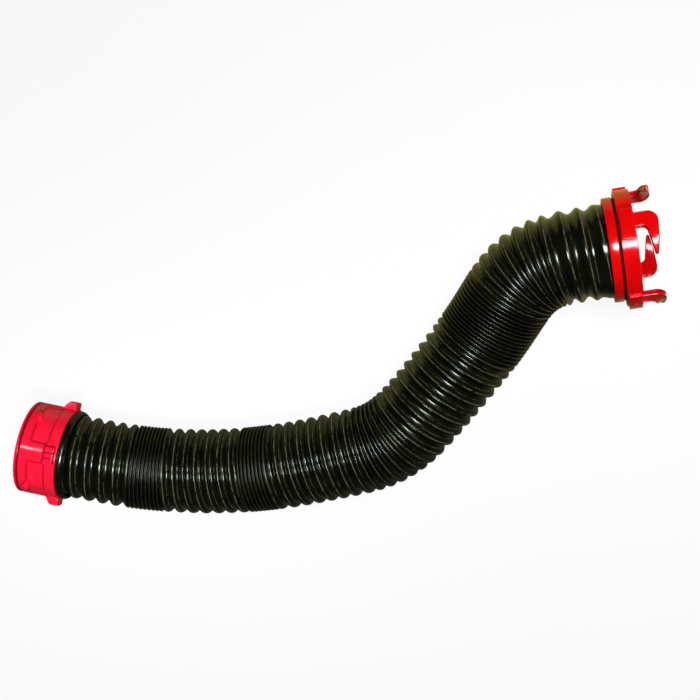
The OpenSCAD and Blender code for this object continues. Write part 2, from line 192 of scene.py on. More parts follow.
@dataclass
class Shell:
    """A mesh in the making: closed surfaces that are gathered into one piece.

    Attributes:
        points: Vertex arrays gathered so far.
        faces: Quad arrays gathered so far, with the last corner repeated for a triangle.
        painted_shade: Arrays of the shade painted on the vertices, 0 to 1.
        count: Number of vertices gathered so far.
    """

    points: list[Array] = field(default_factory=list)
    faces: list[Array] = field(default_factory=list)
    painted_shade: list[Array] = field(default_factory=list)
    count: int = 0

    def loft(self, rings: Array, joined: bool, painted_shade: Array | float = 0.0) -> None:
        """Adds a closed surface through rings of points.

        Quads join each ring to the next. The last ring joins the first, or
        else both ends close with a fan about the middle of their ring. The
        faces are turned outwards by the sign of the volume that they enclose.

        Args:
            rings: Points, as ring, place round the ring, and coordinate.
            joined: Whether the rings themselves run round in a circle.
            painted_shade: Shade painted on the points of the rings.
        """
        many, around = rings.shape[:2]
        spots = np.broadcast_to(painted_shade, (many, around)).ravel()
        index = np.arange(many * around).reshape(many, around)
        first = index if joined else index[:-1]
        second = np.roll(index, -1, axis=0) if joined else index[1:]
        quads = np.stack(
            [first, second, np.roll(second, -1, axis=1), np.roll(first, -1, axis=1)], axis=-1
        ).reshape(-1, 4)
        points = rings.reshape(-1, 3)
        if not joined:
            middles = rings[[0, -1]].mean(axis=1)
            near, far = len(points), len(points) + 1
            start = np.stack([np.full(around, near), index[0], np.roll(index[0], -1)], axis=-1)
            end = np.stack([np.full(around, far), np.roll(index[-1], -1), index[-1]], axis=-1)
            fans = np.concatenate([start, end])
            quads = np.concatenate([quads, np.concatenate([fans, fans[:, 2:]], axis=1)])
            points = np.concatenate([points, middles])
            spots = np.concatenate([spots, spots[[0, -1]]])
        a, b, c, d = (points[quads[:, k]] - points.mean(axis=0) for k in range(4))
        volume = (np.cross(a, b) * c).sum() + (np.cross(a, c) * d).sum()
        if volume < 0:
            quads = quads[:, [0, 3, 2, 1]]
        self.points.append(points)
        self.faces.append(quads + self.count)
        self.painted_shade.append(spots)
        self.count += len(points)

    def piece(self, name: str, crease: float = 40.0, weighed: bool = False) -> Piece:
        """Turns what was gathered into a smooth-shaded object.

        Args:
            name: The object's name.
            crease: Angle in degrees past which an edge stays sharp.
            weighed: Whether large faces set the shading beside small rounded edges.

        Returns:
            The new object, with its place in its mesh.
        """
        quads = np.concatenate(self.faces)
        kept = quads != np.roll(quads, -1, axis=1)
        points = np.concatenate(self.points)
        made = from_corners(name, points, quads[kept], kept.sum(axis=1), crease)
        # painted shade: written on the vertices, for the red finish to darken
        mark_points(made, "painted_shade", np.concatenate(self.painted_shade))
        if weighed:
            weighted = made.modifiers.new("weighted", "WEIGHTED_NORMAL")
            weighted.keep_sharp = True
            weighted.weight = 60
        return made


def from_corners(name: str, points: Array, corners: Array, sizes: Array, crease: float) -> Piece:
    """Makes an object from flat arrays.

    Args:
        name: The object's name.
        points: The vertices.
        corners: Vertex numbers of all faces, one face after another.
        sizes: Number of corners of each face.
        crease: Angle in degrees past which an edge stays sharp.

    Returns:
        The object, linked to the scene.
    """
    mesh = bpy.data.meshes.new(name)
    mesh.vertices.add(len(points))
    mesh.vertices.foreach_set("co", np.ascontiguousarray(points, np.float32).ravel())
    mesh.loops.add(len(corners))
    mesh.loops.foreach_set("vertex_index", np.ascontiguousarray(corners, np.int32))
    mesh.polygons.add(len(sizes))
    starts = np.concatenate([[0], np.cumsum(sizes)[:-1]]).astype(np.int32)
    mesh.polygons.foreach_set("loop_start", starts)
    mesh.update(calc_edges=True)
    mesh.polygons.foreach_set("use_smooth", np.ones(len(sizes), bool))
    mesh.set_sharp_from_angle(angle=float(np.radians(crease)))
    made = bpy.data.objects.new(name, mesh)
    bpy.context.scene.collection.objects.link(made)
    return made


def mark_points(piece: Piece, name: str, values: Array) -> None:
    """Writes one value for each vertex into an attribute of that name."""
    layer = piece.data.attributes.new(name, "FLOAT", "POINT")
    layer.data.foreach_set("value", values.astype(np.float32))


# ---------------------------------------------------------------- shader bench


class Level:
    """A shader value. Python's operators on it add Math nodes."""

    def __init__(self, bench: "Bench", socket: bpy.types.NodeSocket) -> None:
        """Wraps an output socket of a bench's node tree."""
        self.bench = bench
        self.socket = socket

    def _math(self, operation: str, *terms: Any) -> "Level":
        """Adds a Math node and returns its result."""
        return self.bench.node("ShaderNodeMath", {"operation": operation}, dict(enumerate(terms)))

    def __add__(self, other: Any) -> "Level":
        """This value plus another."""
        return self._math("ADD", self, other)

    __radd__ = __add__

    def __sub__(self, other: Any) -> "Level":
        """This value less another."""
        return self._math("SUBTRACT", self, other)

    def __rsub__(self, other: Any) -> "Level":
        """Another value less this one."""
        return self._math("SUBTRACT", other, self)

    def __mul__(self, other: Any) -> "Level":
        """This value times another."""
        return self._math("MULTIPLY", self, other)

    __rmul__ = __mul__

    def __abs__(self) -> "Level":
        """The value without its sign."""
        return self._math("ABSOLUTE", self)

    def whole(self) -> "Level":
        """The nearest whole number."""
        return self._math("ROUND", self)

    def band(self, low: float, high: float) -> "Level":
        """Eases from 0 at low to 1 at high, or back where low is the larger.

        Args:
            low: Where the result is 0.
            high: Where the result is 1.

        Returns:
            The eased value.
        """
        flip = float(low > high)
        sockets = (self, min(low, high), max(low, high), flip, 1.0 - flip)
        settings = {"interpolation_type": "SMOOTHSTEP"}
        return self.bench.node("ShaderNodeMapRange", settings, dict(enumerate(sockets)))


class Bench:
    """The node tree of a material or world, on which nodes are laid."""

    def __init__(self, owner: bpy.types.Material | bpy.types.World) -> None:
        """Empties the owner's node tree and takes it up."""
        owner.use_nodes = True
        self.owner = owner
        self.tree = owner.node_tree
        self.tree.nodes.clear()

    @classmethod
    def material(cls, name: str) -> "Bench":
        """A bench on a new material of that name."""
        return cls(bpy.data.materials.new(name))

    def node(
        self,
        kind: str,
        settings: dict[str, Any] | None = None,
        inputs: dict[Any, Any] | None = None,
        output: int | str = 0,
    ) -> Level:
        """Adds one node.

        Args:
            kind: The node's type.
            settings: Its own settings.
            inputs: Values, or levels to link, by the socket's name or number.
            output: Number or name of the socket that is returned.

        Returns:
            That output as a level.
        """
        made = self.tree.nodes.new(kind)
        for key, value in (settings or {}).items():
            setattr(made, key, value)
        for key, value in (inputs or {}).items():
            socket = made.inputs[key]
            if isinstance(value, Level):
                self.tree.links.new(value.socket, socket)
            else:
                socket.default_value = (*value, 1.0) if socket.type == "RGBA" else value
        return Level(self, made.outputs[output] if made.outputs else None)

    def place(self) -> Level:
        """The point's own place in the object, in metres."""
        return self.node("ShaderNodeTexCoord", output=3)

    def noise(self, scale: float, detail: float = 3.0, stretch: Triple = (1.0, 1.0, 1.0)) -> Level:
        """Cloudy noise over the object's own place.

        Args:
            scale: Number of clouds in a metre.
            detail: How many finer layers it has.
            stretch: Factors on the three coordinates.

        Returns:
            A level about 0.5.
        """
        spot = self.node("ShaderNodeMapping", inputs={0: self.place(), 3: stretch})
        inputs = {"Vector": spot, "Scale": scale, "Detail": detail}
        return self.node("ShaderNodeTexNoise", inputs=inputs)

    def blend(self, share: Any, first: Any, second: Any) -> Level:
        """Mixes two colours.

        Args:
            share: How much of the second shows.
            first: Colour or level.
            second: Colour or level.

        Returns:
            The mixed colour.
        """
        inputs = {0: share, 6: first, 7: second}
        return self.node("ShaderNodeMix", {"data_type": "RGBA"}, inputs, output=2)

    def value(self, name: str) -> Level:
        """The mesh's own value of that name."""
        return self.node("ShaderNodeAttribute", {"attribute_name": name}, output="Fac")

    def bump(self, height: Level, distance: float, strength: float) -> Level:
        """Raises the surface's shading by a height in units of a distance in metres."""
        inputs = {"Height": height, "Distance": distance, "Strength": strength}
        return self.node("ShaderNodeBump", inputs=inputs)

    def backdrop(self, mirrored: float) -> Level:
        """How far a ray should see the plain white backdrop.

        Args:
            mirrored: The share for glossy rays.

        Returns:
            1 for camera rays and rays through glass, the share for glossy ones.
        """
        camera, clear, glossy = (
            self.node("ShaderNodeLightPath", output=f"Is {kind} Ray")
            for kind in ("Camera", "Transmission", "Glossy")
        )
        return camera + clear + glossy * mirrored

    def surface(self, inputs: dict[str, Any]) -> Finish:
        """Ends the tree with a Principled shader.

        Args:
            inputs: Values or levels by socket name.

        Returns:
            The finished material.
        """
        shader = self.node("ShaderNodeBsdfPrincipled", inputs=inputs)
        self.node("ShaderNodeOutputMaterial", inputs={0: shader})
        return self.owner


# ---------------------------------------------------------------- finishes


@dataclass(frozen=True)
class GlossyRed:
    """Moulded red plastic with a faint ripple, flow clouds and light handling marks.

    Attributes:
        name: The material's name.
        colour: Its own red.
        deep: The darker red of its flow clouds.
        corner: The dark red of the shade painted into its corners, grooves and the hooks' inner
            sides.
        roughness: Mean roughness.
    """

    name: str
    colour: Triple
    deep: Triple
    corner: Triple
    roughness: float = 0.13

    def build(self) -> Finish:
        """Lays the nodes and returns the material."""
        bench = Bench.material(self.name)
        clouds = bench.noise(38.0, 2.0)
        ripple = bench.noise(160.0, 2.0)
        grain = bench.noise(2600.0, 2.0)
        marks = bench.noise(420.0, 5.0, (1.0, 6.0, 2.0)).band(0.62, 0.74)
        colour = bench.blend(clouds.band(0.38, 0.72), self.colour, self.deep)
        # painted shade: darkens the red in corners, grooves and on the hooks' inner sides
        colour = bench.blend(bench.value("painted_shade"), colour, self.corner)
        height = ripple * 0.7 + grain * 0.06 - marks * 0.05
        return bench.surface(
            {
                "Base Color": colour,
                "Roughness": self.roughness + (clouds - 0.5) * 0.08 + marks * 0.12,
                "Specular Tint": (1.0, 0.7, 0.78),
                "Normal": bench.bump(height, 0.12 * MM, 0.6),
            }
        )


@dataclass(frozen=True)
class CorrugatedVinyl:
    """Glossy black vinyl over a wire helix, with a slight raised line along each ridge whose light
    colour is a painted reflection.

    Attributes:
        name: The material's name.
        black: Colour of the vinyl.
        olive: The greenish cast of its thinner places.
        line: Colour of the painted reflection on the raised lines along each ridge.
    """

    name: str = "corrugated_vinyl"
    black: Triple = (0.0012, 0.0015, 0.0004)
    olive: Triple = (0.004, 0.0046, 0.0012)
    line: Triple = (0.13, 0.14, 0.08)

    def build(self) -> Finish:
        """Lays the nodes and returns the material."""
        bench = Bench.material(self.name)
        winding = bench.node("ShaderNodeUVMap", {"uv_map": "winding"})
        turns = bench.node("ShaderNodeSeparateXYZ", inputs={0: winding})
        off_ridge = turns - turns.whole()
        clouds = bench.noise(55.0, 3.0)
        patches = bench.noise(130.0, 4.0)
        haze = bench.noise(26.0, 2.0)
        open_fold = bench.value("pitch").band(5.5 * MM, 10.5 * MM)
        # painted reflection: two light lines each turn, just past the ridge and just before the
        # valley, where the flanks catch the lamps; the lines are also raised slightly in the bump
        line = abs(off_ridge - 0.1).band(0.045, 0.012) * patches.band(0.3, 0.55)
        second = abs(off_ridge - 0.38).band(0.04, 0.01) * patches.band(0.65, 0.4) * open_fold
        dust = abs(off_ridge).band(0.36, 0.5) * clouds.band(0.4, 0.7)
        body = bench.blend(clouds.band(0.35, 0.7), self.black, self.olive)
        # painted reflection: the light lines' colour is blended into the black body
        colour = bench.blend(line * (open_fold * 0.4 + 0.25) + second * 0.3, body, self.line)
        height = line * open_fold * 0.3 + second * 0.2 + patches * 0.12
        dull = line * 0.06 + dust * 0.1 + (haze - 0.5) * 0.08
        return bench.surface(
            {
                "Base Color": colour,
                "Roughness": 0.3 - open_fold * 0.13 + dull,
                "Specular Tint": (0.88, 1.0, 0.9),
                "Normal": bench.bump(height, 0.2 * MM, 0.6),
            }
        )


@dataclass(frozen=True)
class Mottled:
    """A plain finish with clouds of a second colour and a fine grain.

    Attributes:
        name: The material's name.
        colour: Its own colour.
        cloud: The colour of its clouds.
        clouds: Clouds in a metre, and how many finer layers they have.
        edge: Levels of the noise at which a cloud begins and is full.
        roughness: Mean roughness, and its swing from cloud to cloud.
        grain: Grains in a metre, and their finer layers.
        relief: Weights of clouds and grain in the bump's height.
        bump: That height's unit in metres, and the bump's strength.
        stretch: Factors on the grain's three coordinates.
        metallic: 1 for a metal.
    """

    name: str
    colour: Triple
    cloud: Triple
    clouds: Pair
    edge: Pair
    roughness: Pair
    grain: Pair
    bump: Pair
    relief: Pair = (0.0, 1.0)
    stretch: Triple = (1.0, 1.0, 1.0)
    metallic: float = 0.0

    def build(self) -> Finish:
        """Lays the nodes and returns the material."""
        bench = Bench.material(self.name)
        clouds = bench.noise(*self.clouds)
        height = clouds * self.relief[0] + bench.noise(*self.grain, self.stretch) * self.relief[1]
        return bench.surface(
            {
                "Base Color": bench.blend(clouds.band(*self.edge), self.colour, self.cloud),
                "Metallic": self.metallic,
                "Roughness": self.roughness[0] + (clouds - 0.5) * self.roughness[1],
                "Normal": bench.bump(height, *self.bump),
            }
        )


LUG_RED = GlossyRed("lug_red", (1.0, 0.01, 0.04), (0.92, 0.008, 0.05), (0.3, 0.0, 0.008))
BAYONET_RED = GlossyRed(
    "bayonet_red", (0.68, 0.0006, 0.0012), (0.6, 0.0004, 0.0008), (0.2, 0.0, 0.001)
)
SMOOTH_VINYL = Mottled(
    name="smooth_vinyl",
    colour=(0.002, 0.0022, 0.0014),
    cloud=(0.006, 0.0066, 0.003),
    clouds=(60.0, 3.0),
    edge=(0.4, 0.7),
    roughness=(0.2, 0.12),
    grain=(1500.0, 3.0),
    bump=(0.3 * MM, 0.6),
    relief=(0.4, 0.08),
)
DRAWN_STEEL = Mottled(
    name="drawn_steel",
    colour=(0.58, 0.58, 0.6),
    cloud=(0.34, 0.33, 0.32),
    clouds=(220.0, 4.0),
    edge=(0.45, 0.7),
    roughness=(0.28, 0.2),
    grain=(2400.0, 2.0),
    bump=(0.08 * MM, 0.5),
    stretch=(1.0, 0.1, 0.1),
    metallic=1.0,
)
SEAL_RUBBER = Mottled(
    name="seal_rubber",
    colour=(0.014, 0.014, 0.014),
    cloud=(0.06, 0.06, 0.058),
    clouds=(140.0, 4.0),
    edge=(0.5, 0.8),
    roughness=(0.62, 0.2),
    grain=(3200.0, 2.0),
    bump=(0.12 * MM, 0.6),
)


def dress(
    piece: Piece,
    finish: Finish,
    node: str = "",
    body: Body = Body.HOSE,
) -> Piece:
    """Gives a piece its finish, and a new piece its body and node.

    Args:
        piece: The object.
        finish: Its material.
        node: The CAD node that a new piece takes the place of.
        body: The body that a new piece moves with.

    Returns:
        The same object.
    """
    piece.data.materials.clear()
    piece.data.materials.append(finish)
    if node:
        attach(piece, body.value)
        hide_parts(node)
    log.info("%s: %d faces, for %s", piece.name, len(piece.data.polygons), node or "itself")
    return piece


# ---------------------------------------------------------------- hose

# The route of the hose's middle: x, y in metres, and how far it has come from
# lying on the surface, 0, to the height of the fitting, 1.
ROUTE = np.array(
    [
        (-0.306, -0.0906, 1), (-0.289, -0.094, 1), (-0.272, -0.0974, 1),
        (-0.255, -0.1008, 1), (-0.236, -0.1048, 0.92), (-0.217, -0.1088, 0.72),
        (-0.198, -0.1124, 0.5), (-0.18, -0.115, 0.28), (-0.162, -0.1166, 0.09),
        (-0.144, -0.1175, 0), (-0.124, -0.1175, 0), (-0.104, -0.1165, 0),
        (-0.084, -0.115, 0), (-0.064, -0.1125, 0), (-0.044, -0.1095, 0),
        (-0.024, -0.1055, 0), (-0.004, -0.101, 0), (0.016, -0.0965, 0),
        (0.034, -0.092, 0), (0.05, -0.0855, 0), (0.065, -0.0755, 0),
        (0.0785, -0.0625, 0), (0.091, -0.0485, 0), (0.1035, -0.0335, 0),
        (0.116, -0.0185, 0), (0.1285, -0.003, 0), (0.1405, 0.0125, 0.02),
        (0.152, 0.0285, 0.06), (0.1625, 0.045, 0.18), (0.173, 0.062, 0.36),
        (0.184, 0.076, 0.54), (0.198, 0.0865, 0.72), (0.214, 0.0928, 0.88),
        (0.231, 0.0962, 0.97), (0.249, 0.0988, 1), (0.267, 0.1012, 1),
        (0.285, 0.1036, 1),
    ]
)

# Each stretch of corrugation: where it ends along the route, and its pitch
STRETCHES = np.array(
    [
        (0.1066, 0.0129), (0.1401, 0.00381), (0.222, 0.0121), (0.25, 0.0038),
        (0.3396, 0.0121), (0.3936, 0.00822), (0.4846, 0.0118), (0.5006, 0.0086),
        (0.5526, 0.0041), (0.6116, 0.0085), (0.72, 0.0145),
    ]
)


@dataclass
class CorrugatedHose:
    """The hose: its route, its folded wall and the wire under its ridges.

    Lengths are in metres.

    Attributes:
        lug_radius: Radius over the ridges at the lug end.
        bayonet_radius: Radius over the ridges at the bayonet end.
        fold: Height of a ridge above its valley.
        bonded: The same where the hose is bonded to an adapter.
        wall: Thickness of the wall.
        wire: Diameter of the wire.
        lug_height: Height of the lug fitting's axis.
        bayonet_height: Height of the bayonet fitting's axis.
        dip: Angle in degrees by which the bayonet fitting's axis points down.
        seat: Distance from the lug face to the hose's end.
        far_seat: Distance from the bayonet face to the hose's other end.
        lug_spigot: Length over which the hose lies tight on the lug's spigot.
        bayonet_spigot: The same on the bayonet's.
        fade: Length over which the folds then reach their full height.
        start_turn: Turns already made where the route begins.
        pulled: Where the most pulled-out stretch of folds begins and ends.
        far_run: Where the folds before the bayonet fitting begin.
        packed_pitch: Pitch at which folds touch.
        columns: Points round the hose.
        weld: Distance within which two points of the wall are one.
    """

    lug_radius: float = 41.0 * MM
    bayonet_radius: float = 43.0 * MM
    fold: float = 4.6 * MM
    bonded: float = 1.0 * MM
    wall: float = 1.0 * MM
    wire: float = 1.6 * MM
    lug_height: float = 52.426 * MM
    bayonet_height: float = 54.485 * MM
    dip: float = 3.0
    seat: float = 16.3 * MM
    far_seat: float = 18.3 * MM
    lug_spigot: float = 20.0 * MM
    bayonet_spigot: float = 10.0 * MM
    fade: float = 14.0 * MM
    start_turn: float = 0.08
    pulled: Pair = (0.385, 0.48)
    far_run: float = 0.55
    packed_pitch: float = 4.0 * MM
    columns: int = 84
    weld: float = 0.002 * MM

    def __post_init__(self) -> None:
        """Works out the middle line and the table of turns."""
        last = len(ROUTE) - 1
        number = np.arange(last + 1)
        rest = self.lug_radius + (self.bayonet_radius - self.lug_radius) * number / last
        back = np.linalg.norm(ROUTE[:, :2] - ROUTE[-1, :2], axis=1)
        far_side = self.bayonet_height + back * np.tan(np.radians(self.dip))
        held = np.where(number < (last + 1) / 2, self.lug_height, far_side)
        knots = np.column_stack([ROUTE[:, :2], rest + ROUTE[:, 2] * (held - rest)])
        self.line = self.spline(knots, 32)
        steps = np.linalg.norm(np.diff(self.line, axis=0), axis=1)
        self.along = np.concatenate([[0.0], np.cumsum(steps)])
        self.length = self.along[-1]
        self.start = self.seat
        self.end = self.length - self.far_seat
        self.table_along = np.concatenate([[0.0], STRETCHES[:, 0]])
        turns = np.cumsum(np.diff(self.table_along) / STRETCHES[:, 1])
        self.table_turns = self.start_turn + np.concatenate([[0.0], turns])

    @staticmethod
    def spline(knots: Array, steps: int) -> Array:
        """Samples a cubic B-spline through given knots.

        Each span's point is a sum of four knots, weighted by the four cubic
        B-spline functions of t. Both ends are mirrored, so the line starts
        and ends in its first and last knot.

        Args:
            knots: The knots.
            steps: Samples for each span.

        Returns:
            Points on the line.
        """
        guides = np.concatenate([[2 * knots[0] - knots[1]], knots, [2 * knots[-1] - knots[-2]]])
        t = np.linspace(0.0, 1.0, steps, endpoint=False)[:, None]
        weights = [(1 - t) ** 3, 3 * t**3 - 6 * t**2 + 4, -3 * t**3 + 3 * t**2 + 3 * t + 1, t**3]
        last = len(knots) - 1
        parts = [w[None] * guides[k : k + last, None] / 6 for k, w in enumerate(weights)]
        return np.concatenate([sum(parts).reshape(-1, 3), knots[-1:]])

    def middle(self, s: Array) -> Array:
        """Points of the middle line at distances s along it."""
        return np.stack([np.interp(s, self.along, axis) for axis in self.line.T], axis=-1)

    def turns_at(self, s: Array) -> Array:
        """Turns of the helix at distances s."""
        return np.interp(s, self.table_along, self.table_turns)

    def at_turn(self, n: Array) -> Array:
        """Distances at which the helix has made n turns."""
        return np.interp(n, self.table_turns, self.table_along)

    def pitch_at(self, s: Array) -> Array:
        """Pitch about distances s, as an average over 8 mm."""
        reach = 4.0 * MM
        return 2 * reach / (self.turns_at(s + reach) - self.turns_at(s - reach))

    def ridge_radius(self, s: Array) -> Array:
        """Radius over the ridges at distances s."""
        return self.lug_radius + (self.bayonet_radius - self.lug_radius) * s / self.length

    def fold_depth(self, s: Array) -> Array:
        """Height of a ridge above its valley, which fades over both spigots."""
        near = smooth((s - self.start - self.lug_spigot) / self.fade)
        far = smooth((self.end - self.bayonet_spigot - s) / self.fade)
        return self.bonded + (self.fold - self.bonded) * np.minimum(near, far)

    def on_hose(self, s: Array, radius: Array, angle: Array) -> Array:
        """Points at a radius and an angle about the middle line.

        The angle runs from the line's left side over its top. Left is level
        and square to the line, and top is square to both.

        Args:
            s: Distances along the line.
            radius: Radii.
            angle: Angles in radians.

        Returns:
            The points.
        """
        reach = 2.0 * MM
        heading = unit(self.middle(s + reach) - self.middle(s - reach))
        left = unit(np.cross(np.array([0.0, 0.0, 1.0]), heading))
        top = np.cross(heading, left)
        spread = np.cos(angle)[..., None] * left + np.sin(angle)[..., None] * top
        return self.middle(s) + radius[..., None] * spread

    def drop(self, s: Array, phase: Array) -> Array:
        """How far the wall lies below its ridges, as a share of the fold's depth.

        The share is the sine of half a turn's angle, raised to a power. A
        high power gives broad domes with narrow valleys, and a low one
        narrow ridges with broad valleys. A small shift of the phase by the
        square of the sine leans the ridges over.

        Args:
            s: Distances along the line.
            phase: Turns, a whole number on a ridge.

        Returns:
            0 on a ridge to 1 in a valley.
        """
        begun = smooth((s - self.pulled[0]) / 0.02)
        stretched = begun * (1 - smooth((s - self.pulled[1]) / 0.03))
        near_end = smooth((s - self.far_run) / 0.04)
        packed = 1 - smooth((self.pitch_at(s) - self.packed_pitch) / (3.0 * MM))
        power = 2.6 - 1.2 * stretched - 0.7 * near_end + 2.4 * packed
        wave = phase - 0.1 * stretched * np.sin(np.pi * phase) ** 2
        return np.abs(np.sin(np.pi * wave)) ** power

    def wall_piece(self) -> Piece:
        """Builds the folded wall, outside and inside, as one surface.

        Its rows follow the helix: row k of column a lies where the turns
        less a's share of a turn are row k's own phase, so ridges and valleys
        run along rows. Past both ends the rows are held at the end, where
        their points fall together and are merged.

        Returns:
            The object, with the UV map "winding": the phase, and the share
            of a turn.
        """
        spread = np.array([0.0, 0.05, 0.105, 0.18, 0.27, 0.37, 0.5, 0.63, 0.73, 0.82, 0.895, 0.95])
        outer = self._skin(spread, 0.0)
        inner = self._skin(np.arange(4) / 4, self.wall)
        shift = len(outer["points"])
        triangles = [outer["triangles"], inner["triangles"][:, ::-1] + shift]
        winding = [outer["winding"], inner["winding"][:, ::-1]]
        for ring, within, flipped in zip(outer["rims"], inner["rims"] + shift, (False, True)):
            after, within_after = np.roll(ring, -1), np.roll(within, -1)
            halves = ([ring, after, within_after], [ring, within_after, within])
            caps = np.concatenate([np.stack(half, axis=-1) for half in halves])
            triangles.append(caps[:, ::-1] if flipped else caps)
            winding.append(np.full((len(caps), 3, 2), 0.5))
        points = np.concatenate([outer["points"], inner["points"]])
        pitches = np.concatenate([outer["pitches"], inner["pitches"]])
        return self._welded(points, pitches, np.concatenate(triangles), np.concatenate(winding))

    def _skin(self, spread: Array, inset: float) -> dict[str, Array]:
        """One skin of the wall.

        Args:
            spread: Phases of the rows within one turn.
            inset: Distance inside the outer skin.

        Returns:
            Points, the pitch about each, triangles, the winding of their
            corners, and the vertex numbers of the first and the last rim.
        """
        low = int(np.floor(self.turns_at(self.start))) - 2
        high = int(np.ceil(self.turns_at(self.end))) + 1
        rows = (np.arange(low, high)[:, None] + spread).ravel()
        share = np.arange(self.columns) / self.columns
        raw = self.at_turn(rows[:, None] + share)
        s = np.clip(raw, self.start, self.end)
        phase = np.where(raw == s, rows[:, None], self.turns_at(s) - share)
        radius = self.ridge_radius(s) - self.fold_depth(s) * self.drop(s, phase) - inset
        last, turn = len(rows) - 1, len(spread)
        k = np.arange(last - turn)[:, None]
        j = np.arange(self.columns)[None]
        a = k * self.columns + j
        b = np.where(j == self.columns - 1, (k + turn) * self.columns, a + 1)
        corners = np.stack([a, b, b + self.columns, a + self.columns], axis=-1).reshape(-1, 4)
        u = rows[k[..., None] + [0, 0, 1, 1]]
        v = (j[..., None] + [0, 1, 1, 0]) / self.columns
        winding = np.stack(np.broadcast_arrays(u, v), axis=-1).reshape(-1, 4, 2)
        halves = ([0, 1, 2], [0, 2, 3])
        return {
            "points": self.on_hose(s, radius, 2 * np.pi * share).reshape(-1, 3),
            "pitches": self.pitch_at(s).ravel(),
            "triangles": np.concatenate([corners[:, half] for half in halves]),
            "winding": np.concatenate([winding[:, half] for half in halves]),
            "rims": np.arange(self.columns) + np.array([[0], [last * self.columns]]),
        }

    def _welded(self, points: Array, pitches: Array, triangles: Array, winding: Array) -> Piece:
        """Merges points that fall together and drops faces without area.

        Args:
            points: The vertices.
            pitches: The pitch about each vertex.
            triangles: Vertex numbers.
            winding: UV of each corner.

        Returns:
            The object.
        """
        grid = np.round(points / self.weld).astype(np.int64)
        _, first, index = np.unique(grid, axis=0, return_index=True, return_inverse=True)
        triangles = index.reshape(-1)[triangles]
        kept = (triangles != np.roll(triangles, 1, axis=1)).all(axis=1)
        used, renumbered = np.unique(triangles[kept], return_inverse=True)
        sizes = np.full(kept.sum(), 3)
        made = from_corners("hose_skin", points[first][used], renumbered.ravel(), sizes, 180.0)
        layer = made.data.uv_layers.new(name="winding")
        layer.data.foreach_set("uv", winding[kept].astype(np.float32).ravel())
        mark_points(made, "pitch", pitches[first][used])
        return made

    def wire_piece(self) -> Piece:
        """Builds the wire: a circle carried along the helix under the ridges.

        The wire lies as deep below the ridge as a fold with straight sides
        needs: the wall, and half the wire times the root of one plus the
        square of the side's slope.

        Returns:
            The object.
        """
        end_gap, samples = 0.1, 24
        first = self.turns_at(self.start + self.lug_spigot + self.fade) + end_gap
        last = self.turns_at(self.end - self.bayonet_spigot - self.fade) - end_gap
        n = np.linspace(first, last, int((last - first) * samples))
        s, angle = self.at_turn(n), 2 * np.pi * n
        ridge = self.on_hose(s, self.ridge_radius(s), angle)
        sides = []
        for half in (-0.5, 0.5):
            beside = self.at_turn(n + half)
            there = self.on_hose(beside, self.ridge_radius(beside), angle)
            sides.append(np.linalg.norm(there - ridge, axis=-1))
        slope = self.fold / np.minimum(*sides)
        depth = self.wall + self.wire / 2 * np.sqrt(1 + slope**2) + 0.15 * MM
        centre = self.on_hose(s, self.ridge_radius(s) - depth, angle)
        out = unit(centre - self.middle(s))
        side = unit(np.cross(unit(np.gradient(centre, axis=0)), out))
        turn = np.linspace(0, 2 * np.pi, 6, endpoint=False)[:, None]
        ring = np.cos(turn) * side[:, None] + np.sin(turn) * out[:, None]
        shell = Shell()
        shell.loft(centre[:, None] + self.wire / 2 * ring, joined=False)
        return shell.piece("spring_wire", 80.0)

    def build(self, vinyl: Finish, steel: Finish) -> tuple[Piece, Piece]:
        """Builds and dresses the hose.

        Args:
            vinyl: Finish of the wall.
            steel: Finish of the wire.

        Returns:
            The wall and the wire.
        """
        wall = dress(self.wall_piece(), vinyl, "hose_wall")
        return wall, dress(self.wire_piece(), steel, "wire_helix")


# ---------------------------------------------------------------- fittings


@dataclass(frozen=True)
class FittingFrame:
    """A fitting's own axes.

    Attributes:
        origin: Middle of the mating face.
        up: Its upward axis, x.
        side: Its sideward axis, y.
        out: Its axis out of the mating face, z.
    """

    origin: Array
    up: Array
    side: Array
    out: Array

    @classmethod
    def looking(cls, origin: Triple, way: Pair, dip: float = 0.0) -> "FittingFrame":
        """A frame whose face looks along a way and down by dip.

        Args:
            origin: Middle of the mating face.
            way: The way that the face looks, as x and y.
            dip: Angle in radians below level.

        Returns:
            The frame.
        """
        c, s = np.array(way) / np.hypot(*way)
        d, e = np.cos(dip), np.sin(dip)
        up, side = np.array([c * e, s * e, d]), np.array([s, -c, 0])
        return cls(np.array(origin), up, side, np.array([c * d, s * d, -e]))

    def turned(self, angle: float) -> "FittingFrame":
        """The frame turned by an angle in radians, from up towards side."""
        c, s = np.cos(angle), np.sin(angle)
        up, side = c * self.up + s * self.side, c * self.side - s * self.up
        return FittingFrame(self.origin, up, side, self.out)

    def world(self, x: Array, y: Array, z: Array) -> Array:
        """Points of the scene at the fitting's own coordinates in millimetres."""
        x, y, z = (MM * axis[..., None] for axis in np.broadcast_arrays(x, y, z))
        return self.origin + x * self.up + y * self.side + z * self.out

    def polar(self, radius: Array, angle: Array, depth: Array) -> Array:
        """Points at radii, angles in radians and depths behind the face."""
        return self.world(radius * np.cos(angle), radius * np.sin(angle), -depth)


